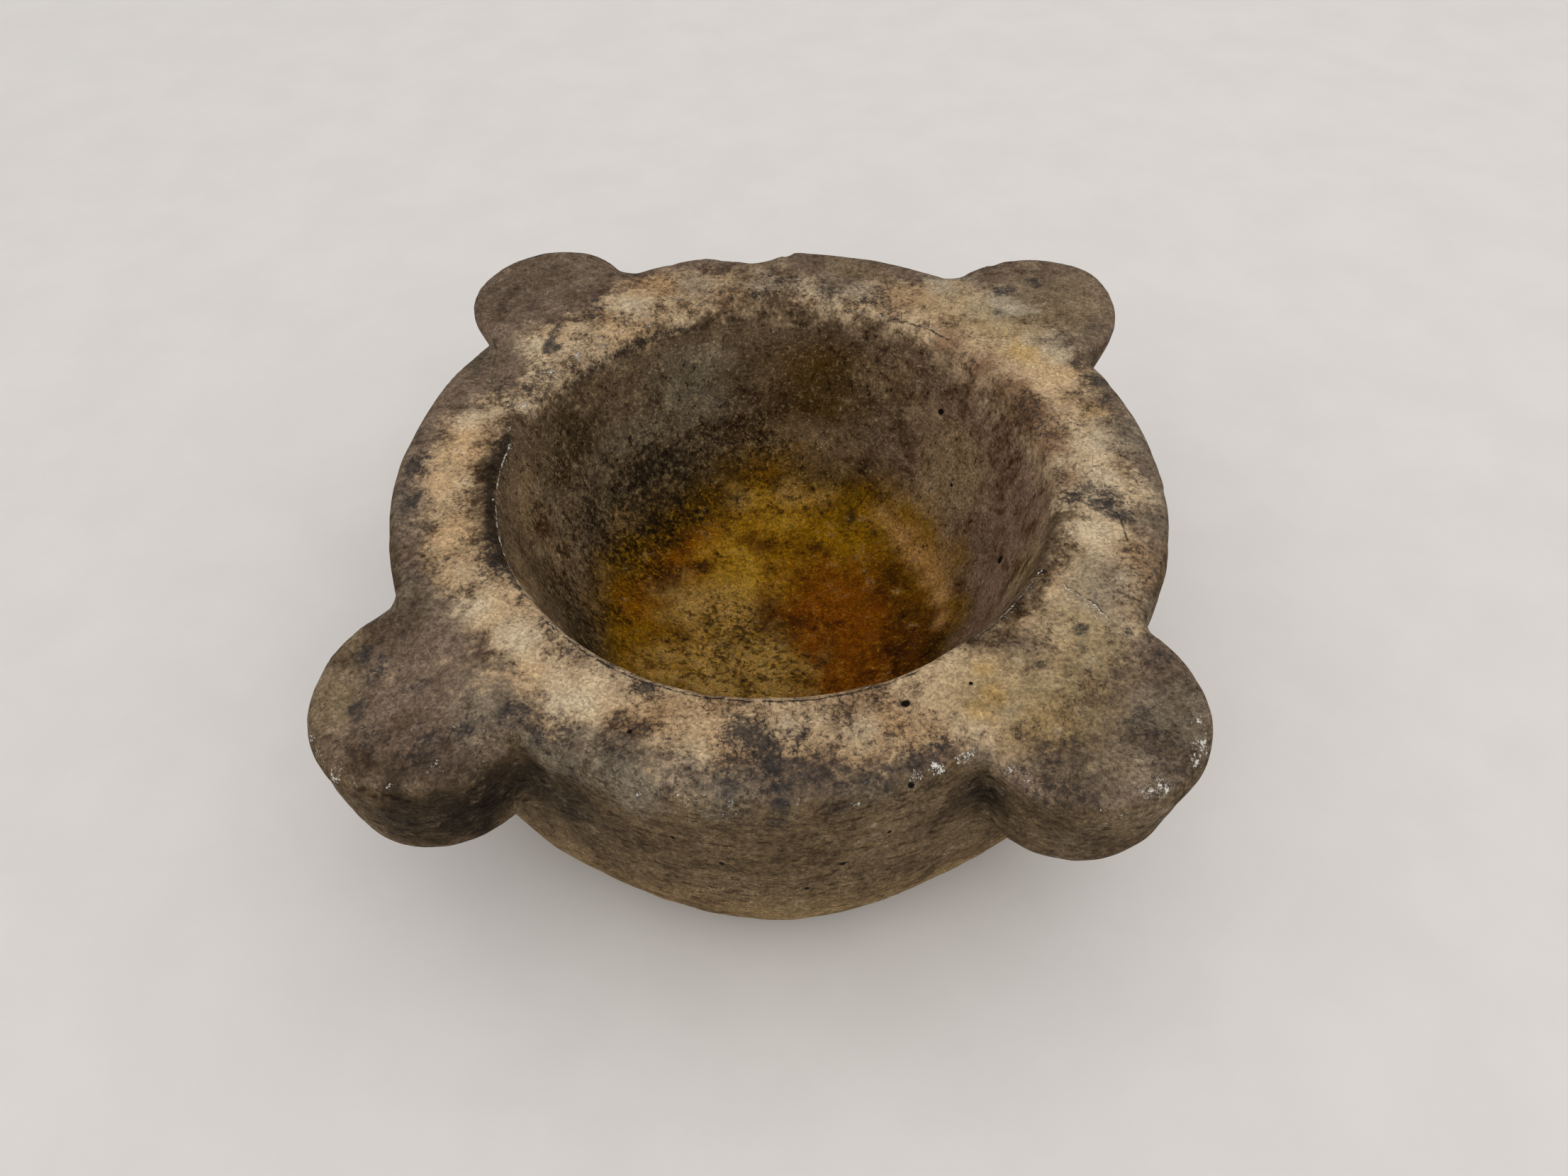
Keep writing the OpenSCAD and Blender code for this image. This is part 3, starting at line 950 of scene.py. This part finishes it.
class Stone(Graph):
    """A graph with the marble's own patterns, from palm-sized blotches down to single crystals."""

    def __init__(self, name):
        super().__init__(name)
        self.blotch = self.centred(self.noise(0.026, 3, 0.55))
        self.patch = self.centred(self.noise(0.009, 3, 0.60))
        self.feather = self.centred(self.noise(0.0036, 4, 0.65, self.stretched(0.35, 1.0, 1.0)))
        self.grit = self.centred(self.noise(0.0028, 4, 0.70))
        self.grain = self.centred(self.noise(0.0010, 3, 0.90))
        self.seam = self.crystal_seams()

    def crystal_seams(self):
        """1 along the joints between crystals, which hold the dirt, and 0 inside them."""
        stray = self.add("ShaderNodeTexNoise", {"Vector": self.place, "Scale": 600.0}).outputs[1]
        moved = self.add("ShaderNodeVectorMath", {0: stray, "Scale": 0.0016}, operation="SCALE").outputs[0]
        where = self.add("ShaderNodeVectorMath", {0: self.place, 1: moved}).outputs[0]
        inputs = {"Vector": where, "Scale": 450.0}
        cells = self.add("ShaderNodeTexVoronoi", inputs, feature="DISTANCE_TO_EDGE")
        return self.step(cells.outputs["Distance"], 0.20, 0.02)

    def centred(self, value):
        """A 0 to 1 value spread to lie mostly between -1 and 1."""
        return self.times(self.math("SUBTRACT", value, 0.5), 5.0)

    def broken(self, amount, blotch, patch, grit, grain, start, end):
        """A stain's amount made uneven at four sizes, so that its edge frays into single crystals."""
        parts = ((self.blotch, blotch), (self.patch, patch), (self.grit, grit), (self.grain, grain))
        for part, weight in parts:
            amount = self.plus(amount, self.times(part, weight))
        return self.step(amount, start, end)

    def specks(self, amount, start, end):
        """Dirt that gathers in the joints between crystals, thicker where the amount is high."""
        amount = self.plus(amount, self.times(self.seam, 0.50))
        return self.broken(amount, 0.20, 0.22, 0.35, 0.55, start, end)

    def speckles(self, size, amount):
        """Crisp specks, closer together where the amount is high."""
        pattern = self.noise(size, 4, 0.80, self.stretched(1.0, 1.0, 0.8))
        amount = self.plus(amount, self.times(self.patch, 0.20))
        return self.step(self.plus(pattern, self.times(amount, 0.12)), 0.60, 0.67)

    def shade(self, colour, amount, tone, strength):
        """Darken a colour by a tone where the amount is high."""
        return self.mix(self.times(amount, strength), colour, tone, "MULTIPLY")

    def rim(self):
        """The pale stone of the rim under a broken veil of brown grime."""
        colour = self.colour("wash")
        colour = self.mix(self.broken(0.0, 0.1, -0.3, 0.3, 0.3, 0.1, 0.9), colour, linear(0.90, 0.83, 0.71))
        veil = self.broken(self.number("grime"), 0.36, 0.25, 0.30, 0.22, 0.15, 1.35)
        colour = self.shade(colour, veil, linear(0.64, 0.58, 0.53), 1.0)
        colour = self.mix(self.specks(self.number("grime"), 0.85, 1.75), colour, linear(0.26, 0.22, 0.19))
        freckles = self.times(self.dots(0.0028, 0.26, 0.62), self.step(self.patch, -0.6, 0.9))
        return self.mix(self.times(freckles, 0.6), colour, linear(0.40, 0.28, 0.18))

    def grainy(self, colour, low, high):
        """Make the crystals of a dark stain stand out more."""
        return self.mix(1.0, colour, self.step(self.grain, -1.3, 1.3, low, high), "MULTIPLY")

    def bowl(self):
        """The bowl's wall and floor, whose stains lie deeper in the stone."""
        colour = self.colour("bowl")
        light = self.broken(0.0, 0.1, -0.3, -0.35, 0.35, 0.10, 1.1)
        colour = self.mix(self.times(light, 0.75), colour, self.colour("bowl_light"))
        veil = self.broken(0.45, 0.55, 0.48, 0.42, 0.25, 0.15, 1.45)
        colour = self.shade(colour, veil, linear(0.60, 0.52, 0.42), 1.0)
        pale = self.times(self.speckles(0.0019, self.number("speckle")), 0.55)
        colour = self.mix(pale, colour, self.colour("bowl_light"))
        dark = self.times(self.speckles(0.0028, self.number("speckle")), 0.80)
        colour = self.mix(dark, colour, linear(0.36, 0.29, 0.18), "MULTIPLY")
        return self.grainy(colour, 0.62, 1.38)

    def film(self):
        """The dark film of the outside: faint darker and paler clouds, and single pale crystals.
        Under the lugs its colour holds painted crevice shade.
        """
        colour = self.colour("film_and_shade_tone")
        cloud = self.broken(0.4, 0.40, 0.30, 0.40, 0.45, 0.05, 1.25)
        colour = self.shade(colour, cloud, linear(0.64, 0.59, 0.54), 0.95)
        worn = self.broken(0.0, -0.20, -0.35, -0.30, 0.40, 0.35, 1.30)
        colour = self.mix(self.times(worn, 0.7), colour, linear(0.68, 0.62, 0.52))
        salt = self.times(self.step(self.grain, 0.8, 1.9), 0.45)
        colour = self.mix(salt, colour, linear(0.80, 0.76, 0.68))
        dirt = self.times(self.specks(0.35, 0.80, 1.80), 0.7)
        return self.grainy(self.mix(dirt, colour, linear(0.20, 0.17, 0.15)), 0.55, 1.45)

    def skin(self):
        """The rim with the film over it, and the bowl."""
        cover = self.plus(self.number("film"), self.times(self.feather, 0.15))
        cover = self.broken(cover, 0.10, 0.20, 0.18, 0.20, 0.15, 0.85)
        colour = self.mix(self.times(cover, 0.95), self.rim(), self.film())
        inside = self.broken(self.number("hollow"), 0.05, 0.22, 0.24, 0.25, 0.15, 0.85)
        return self.mix(inside, colour, self.bowl())

    def tool_streaks(self):
        """Streaks left by the tool that run round the outer side."""
        streak = self.noise(0.0022, 3, 0.65, self.stretched(0.40, 0.40, 1.0))
        return self.times(self.step(streak, 0.52, 0.70), self.number("side"))

    def soot_and_painted_shadow(self, colour):
        """Blue-black soot, brown in the bowl, with the painted shadow under the far lip, and the pepper of
        black specks.
        """
        soot_and_painted_shadow = self.plus(self.number("soot_and_painted_shadow"), self.times(self.feather, 0.20))
        soot_and_painted_shadow = self.plus(soot_and_painted_shadow, self.times(self.seam, 0.15))
        soot_and_painted_shadow = self.broken(soot_and_painted_shadow, 0.05, 0.15, 0.26, 0.55, 0.30, 1.15)
        tone = self.mix(self.number("hollow"), linear(0.23, 0.215, 0.21), linear(0.12, 0.09, 0.05))
        colour = self.mix(self.times(soot_and_painted_shadow, 0.85), colour, tone)
        pepper = self.number("pepper")
        pepper = self.times(self.speckles(0.0022, pepper), self.step(pepper, 0.1, 0.6))
        return self.mix(self.times(pepper, 0.70), colour, linear(0.22, 0.195, 0.18))

    def cracks(self, colour):
        """Fine cracks, seen here and there."""
        wander = self.noise(0.030, 3, 0.55, warp=0.8)
        line = self.step(self.math("ABSOLUTE", self.math("SUBTRACT", wander, 0.5)), 0.0022, 0.0006)
        here = self.step(self.noise(0.045, 2), 0.50, 0.62)
        return self.mix(self.times(self.times(line, here), 0.55), colour, linear(0.20, 0.16, 0.13))

    def dark_lines(self, colour):
        """The dark side of the fine lines; along the shelf by the near right lug it is a painted shadow."""
        line = self.step(self.math("ABSOLUTE", self.number("line_gap")), 0.65, 0.20)
        line = self.times(line, self.number("line_dark"))
        line = self.times(line, self.step(self.grit, -0.8, 0.2))
        return self.mix(self.times(line, 0.9), colour, linear(0.17, 0.15, 0.13))

    def crystals(self, colour):
        """Every crystal has its own shade, and some a painted glint."""
        crystal = self.step(self.grain, -1.3, 1.3, 0.46, 0.98)
        facet = self.step(self.cell_shade(0.0009), 0, 1, 0.78, 1.22)
        colour = self.mix(1.0, colour, self.times(crystal, facet), "MULTIPLY")
        # painted glint: some crystals are brightened more than twofold
        return self.mix(self.step(self.grain, 0.6, 1.8), colour, np.array([2.2, 2.15, 2.05]), "MULTIPLY")

    def flecks(self, colour):
        """Bright broken crystals, and the freshly broken side of the fine lines."""
        beside = self.math("SUBTRACT", self.number("line_gap"), 0.75)
        line = self.step(self.math("ABSOLUTE", beside), 0.75, 0.20)
        line = self.times(line, self.number("line_light"))
        fleck = self.math("MAXIMUM", self.number("fleck"), self.times(line, 1.1))
        fleck = self.broken(fleck, 0.0, 0.15, 0.45, 0.45, 0.85, 1.20)
        return self.mix(self.times(fleck, 0.85), colour, linear(0.88, 0.86, 0.81))


def marble_material(pit_places):
    """Weathered marble: stained stone, grime, a dark film, soot, pits, fine lines and broken crystals,
    with painted shade under the far lip, under the lugs, along one shelf and in the pits, and a painted
    glint.
    """
    g = Stone("worn_marble")
    streaks = g.tool_streaks()
    holes = g.times(g.dots(0.0042, 0.22, 0.72), g.step(g.number("grime"), 0.2, 0.9))
    colour = g.shade(g.skin(), streaks, linear(0.50, 0.44, 0.37), 0.8)
    colour = g.mix(g.times(holes, 0.6), colour, linear(0.24, 0.20, 0.17))
    colour = g.cracks(g.soot_and_painted_shadow(colour))
    colour = g.dark_lines(colour)
    colour = g.flecks(g.crystals(colour))
    # painted shade: the hollow of each deep pit is painted near black
    for place, radius in pit_places:
        away = g.add("ShaderNodeVectorMath", {0: g.place, 1: place}, operation="DISTANCE").outputs["Value"]
        colour = g.mix(g.step(away, radius, 0.6 * radius), colour, linear(0.07, 0.055, 0.045))
    height = g.plus(g.times(g.grain, 0.12), g.times(g.grit, 0.25))
    height = g.plus(height, g.times(g.patch, 0.30))
    height = g.math("SUBTRACT", height, g.times(holes, 0.6))
    height = g.math("SUBTRACT", height, g.times(streaks, 0.5))
    bump = g.add("ShaderNodeBump", {"Strength": 0.8, "Distance": 0.0008, "Height": height})
    return g.surface({"Base Color": colour, "Roughness": g.step(g.grit, -0.8, 0.8, 0.62, 0.82),
                      "Normal": bump.outputs[0], "Specular IOR Level": 0.05})


def floor_material():
    """A plain pale floor with a faint unevenness."""
    g = Graph("pale_floor")
    tone = g.noise(0.05, 5, 0.6)
    colour = g.mix(g.step(tone, 0.3, 0.7), linear(0.845, 0.825, 0.80), linear(0.86, 0.84, 0.815))
    return g.surface({"Base Color": colour, "Roughness": 0.6, "Specular IOR Level": 0.25})


# ---------------- floor, light and camera
def make_floor():
    """A wide square of floor under the foot."""
    half = 4.0
    mesh = bpy.data.meshes.new("floor")
    corners = [(-half, -half, 0), (half, -half, 0), (half, half, 0), (-half, half, 0)]
    mesh.from_pydata(corners, [], [(0, 1, 2, 3)])
    mesh.materials.append(floor_material())
    floor = bpy.data.objects.new("floor", mesh)
    bpy.context.scene.collection.objects.link(floor)


def make_softbox(name, place, aim, size, power, tint):
    """A square soft light that points at a spot."""
    lamp = bpy.data.lights.new(name, "AREA")
    lamp.shape = "SQUARE"
    lamp.size = size
    lamp.energy = power
    lamp.color = tint
    light = bpy.data.objects.new(name, lamp)
    light.location = place
    light.rotation_euler = (Vector(aim) - Vector(place)).to_track_quat("-Z", "Y").to_euler()
    bpy.context.scene.collection.objects.link(light)


def make_light():
    """A wide softbox high above, in a pale surround that is brighter on the camera's side."""
    middle = (0, 0, HEIGHT)
    make_softbox("ceiling", (0.4, -0.1, 1.8), middle, 2.0, 8, (1.0, 0.985, 0.96))
    world = bpy.data.worlds.new("surround")
    world.use_nodes = True
    tree = world.node_tree
    place = tree.nodes.new("ShaderNodeTexCoord")
    split = tree.nodes.new("ShaderNodeSeparateXYZ")
    strength = tree.nodes.new("ShaderNodeMapRange")
    strength.inputs["From Min"].default_value = -1
    strength.inputs["To Min"].default_value = 1.25
    strength.inputs["To Max"].default_value = 0.50
    sky = tree.nodes["Background"]
    sky.inputs["Color"].default_value = (0.97, 0.975, 1.0, 1)
    tree.links.new(place.outputs["Generated"], split.inputs[0])
    tree.links.new(split.outputs["Y"], strength.inputs["Value"])
    tree.links.new(strength.outputs[0], sky.inputs["Strength"])
    bpy.context.scene.world = world
    bpy.context.scene.view_settings.view_transform = "Standard"


CAMERA_BACK = 2.2794          # units in front of the bowl's axis
CAMERA_UP = 2.1351            # units over the rim
CAMERA_DOWN = 48.91           # degrees below level
CAMERA_TURN = 0.43            # degrees to the right
CAMERA_ROLL = -1.45           # degrees


def make_camera():
    """A phone's main camera held a little over 0.4 m away."""
    pitch, turn, roll = (math.radians(angle) for angle in (CAMERA_DOWN, CAMERA_TURN, CAMERA_ROLL))
    forward = Vector((math.sin(turn) * math.cos(pitch), math.cos(turn) * math.cos(pitch), -math.sin(pitch)))
    level = Vector((math.cos(turn), -math.sin(turn), 0))
    upright = level.cross(forward)
    right = level * math.cos(roll) + upright * math.sin(roll)
    up = upright * math.cos(roll) - level * math.sin(roll)
    lens = bpy.data.cameras.new("camera")
    lens.sensor_width = 36
    lens.lens = 27.05
    lens.clip_start = 0.01
    camera = bpy.data.objects.new("camera", lens)
    turned = Matrix((right, up, -forward)).transposed().to_4x4()
    place = Vector((0, -CAMERA_BACK * UNIT, HEIGHT + CAMERA_UP * UNIT))
    camera.matrix_world = Matrix.Translation(place) @ turned
    bpy.context.scene.collection.objects.link(camera)
    bpy.context.scene.camera = camera


# ---------------- putting it together
make_camera()
make_light()
make_floor()
marble, pits = make_stone()
marble.data.materials.append(marble_material(pits))
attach(marble, "root")
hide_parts("mortar")
